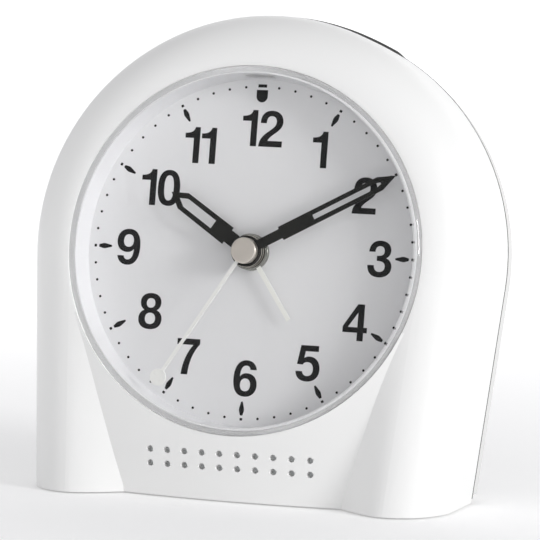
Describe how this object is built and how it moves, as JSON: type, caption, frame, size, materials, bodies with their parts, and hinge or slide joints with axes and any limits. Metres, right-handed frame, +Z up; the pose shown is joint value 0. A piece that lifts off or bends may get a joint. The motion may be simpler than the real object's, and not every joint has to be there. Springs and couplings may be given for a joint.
{
  "type": "bedside alarm clock",
  "caption": "Arched white bedside quartz alarm clock with a round leaning dial, windowed black hands, chin speaker holes, a snooze bar on top and controls behind.",
  "frame": {"origin": "bottom centre of the bounding box, on the surface that the clock stands on", "axes": "+Z up, +X to the reader's right, +Y towards the back of the clock; the dial faces -Y and leans back 8 degrees"},
  "size_m": [0.113, 0.0646, 0.1145],
  "materials": {
    "case_white": "moulded white plastic with a soft satin sheen",
    "lens_clear": "clear polished acrylic, flat with a rounded rim",
    "ring_white": "smooth white reflector plastic",
    "lamp_lens": "frosted translucent lamp window",
    "dial_grey": "pale lilac grey printed dial, matte",
    "collar_chrome": "bright plated collar",
    "carrier_white": "plain moulded plastic",
    "screw_steel": "zinc plated steel",
    "hand_black": "black enamel, satin",
    "hand_white": "white enamel, satin",
    "hand_cream": "off-white enamel, satin",
    "cap_nickel": "satin nickel",
    "wheel_white": "natural acetal",
    "arbor_brass": "turned brass",
    "knob_white": "moulded white plastic",
    "movement_black": "black moulded plastic",
    "stator_steel": "rolled steel",
    "coil_copper": "enamelled copper winding",
    "board_green": "green circuit board laminate",
    "chip_black": "black epoxy",
    "speaker_black": "black pressed steel",
    "cone_paper": "pressed paper",
    "cloth_grey": "thin woven acoustic cloth",
    "cell_wrap": "plain wrapped cell",
    "contact_nickel": "nickel plated spring steel",
    "spring_steel": "spring steel wire",
    "foot_rubber": "soft rubber"
  },
  "bodies": {
    "case": {"front_case": "case_white", "rear_cover": "case_white", "lens": "lens_clear", "reflector_ring": "ring_white", "light_led": "lamp_lens", "dial": "dial_grey", "dial_collar": "collar_chrome", "dial_carrier": "carrier_white", "carrier_screws": "screw_steel", "case_screws": "screw_steel", "movement_front": "movement_black", "movement_housing": "movement_black", "movement_screws": "screw_steel", "motor_stator": "stator_steel", "motor_coil": "coil_copper", "circuit_board": "board_green", "board_screws": "screw_steel", "control_chip": "chip_black", "quartz_crystal": "stator_steel", "speaker_frame": "speaker_black", "speaker_cone": "cone_paper", "grille_cloth": "cloth_grey", "battery_cell": "cell_wrap", "battery_contact_plus": "contact_nickel", "battery_contact_minus": "contact_nickel", "alarm_switch_body": "movement_black", "snooze_spring_left": "spring_steel", "snooze_spring_right": "spring_steel", "snooze_switch": "movement_black", "foot_1": "foot_rubber", "foot_2": "foot_rubber", "foot_3": "foot_rubber", "foot_4": "foot_rubber"},
    "seconds": {"second_arbor": "wheel_white", "second_hand": "hand_white", "second_cap": "cap_nickel"},
    "third": {"third_wheel": "wheel_white"},
    "centre": {"centre_wheel": "wheel_white"},
    "fifth": {"fifth_wheel": "wheel_white"},
    "rotor": {"motor_rotor": "wheel_white"},
    "minutes": {"minute_arbor": "arbor_brass", "minute_hand": "hand_black"},
    "motion": {"motion_wheel": "wheel_white"},
    "hours": {"hour_wheel": "wheel_white", "hour_hand": "hand_black"},
    "time_setter": {"time_shaft": "wheel_white", "time_knob": "knob_white"},
    "alarm": {"alarm_wheel": "wheel_white", "alarm_hand": "hand_cream"},
    "alarm_setter": {"alarm_shaft": "wheel_white", "alarm_knob": "knob_white"},
    "snooze": {"snooze_bar": "case_white"},
    "alarm_switch": {"alarm_slider": "knob_white"},
    "door": {"battery_door": "case_white"}
  },
  "joints": [
    {"name": "second_hand_turn", "type": "hinge", "parent": "case", "child": "seconds", "pos_m": [0, -0.00495, 0.05697], "axis": [0, 0.9903, -0.1392], "continuous": true},
    {"name": "third_wheel_turn", "type": "hinge", "parent": "case", "child": "third", "pos_m": [0, -0.00325, 0.06909], "axis": [0, 0.9903, -0.1392], "continuous": true},
    {"name": "centre_wheel_turn", "type": "hinge", "parent": "case", "child": "centre", "pos_m": [0, -0.00495, 0.05697], "axis": [0, 0.9903, -0.1392], "continuous": true},
    {"name": "fifth_wheel_turn", "type": "hinge", "parent": "case", "child": "fifth", "pos_m": [0, -0.00669, 0.04461], "axis": [0, 0.9903, -0.1392], "continuous": true},
    {"name": "rotor_turn", "type": "hinge", "parent": "case", "child": "rotor", "pos_m": [-0.0087, -0.0074, 0.03957], "axis": [0, 0.9903, -0.1392], "continuous": true},
    {"name": "minute_hand_turn", "type": "hinge", "parent": "case", "child": "minutes", "pos_m": [0, -0.00495, 0.05697], "axis": [0, 0.9903, -0.1392], "continuous": true},
    {"name": "motion_wheel_turn", "type": "hinge", "parent": "case", "child": "motion", "pos_m": [0.0075, -0.00564, 0.05204], "axis": [0, 0.9903, -0.1392], "continuous": true},
    {"name": "hour_hand_turn", "type": "hinge", "parent": "case", "child": "hours", "pos_m": [0, -0.00495, 0.05697], "axis": [0, 0.9903, -0.1392], "continuous": true},
    {"name": "time_knob_turn", "type": "hinge", "parent": "case", "child": "time_setter", "pos_m": [0.015, -0.00495, 0.05697], "axis": [0, 0.9903, -0.1392], "continuous": true},
    {"name": "alarm_hand_turn", "type": "hinge", "parent": "case", "child": "alarm", "pos_m": [0, -0.00495, 0.05697], "axis": [0, 0.9903, -0.1392], "continuous": true},
    {"name": "alarm_knob_turn", "type": "hinge", "parent": "case", "child": "alarm_setter", "pos_m": [-0.015, -0.00495, 0.05697], "axis": [0, 0.9903, -0.1392], "continuous": true},
    {"name": "snooze_press", "type": "slide", "parent": "case", "child": "snooze", "axis": [0, 0, -1], "range_m": [0, 0.0012], "stiffness_N_per_m": 900, "springref_m": -0.001, "deforming": ["snooze_spring_left", "snooze_spring_right"]},
    {"name": "alarm_switch_slide", "type": "slide", "parent": "case", "child": "alarm_switch", "axis": [1, 0, 0], "range_m": [0, 0.004]},
    {"name": "battery_door_tilt", "type": "hinge", "parent": "case", "child": "door", "pos_m": [0, 0.01893, 0.01059], "axis": [-1, 0, 0], "range_deg": [0, 85]}
  ],
  "couplings": [
    {"joint": "third_wheel_turn", "follows": "second_hand_turn", "ratio": -0.13333},
    {"joint": "centre_wheel_turn", "follows": "second_hand_turn", "ratio": 0.016667},
    {"joint": "fifth_wheel_turn", "follows": "second_hand_turn", "ratio": -5},
    {"joint": "rotor_turn", "follows": "second_hand_turn", "ratio": 30},
    {"joint": "motion_wheel_turn", "follows": "minute_hand_turn", "ratio": -0.33333},
    {"joint": "hour_hand_turn", "follows": "minute_hand_turn", "ratio": 0.083333},
    {"joint": "time_knob_turn", "follows": "minute_hand_turn", "ratio": 1},
    {"joint": "alarm_knob_turn", "follows": "alarm_hand_turn", "ratio": -1}
  ]
}
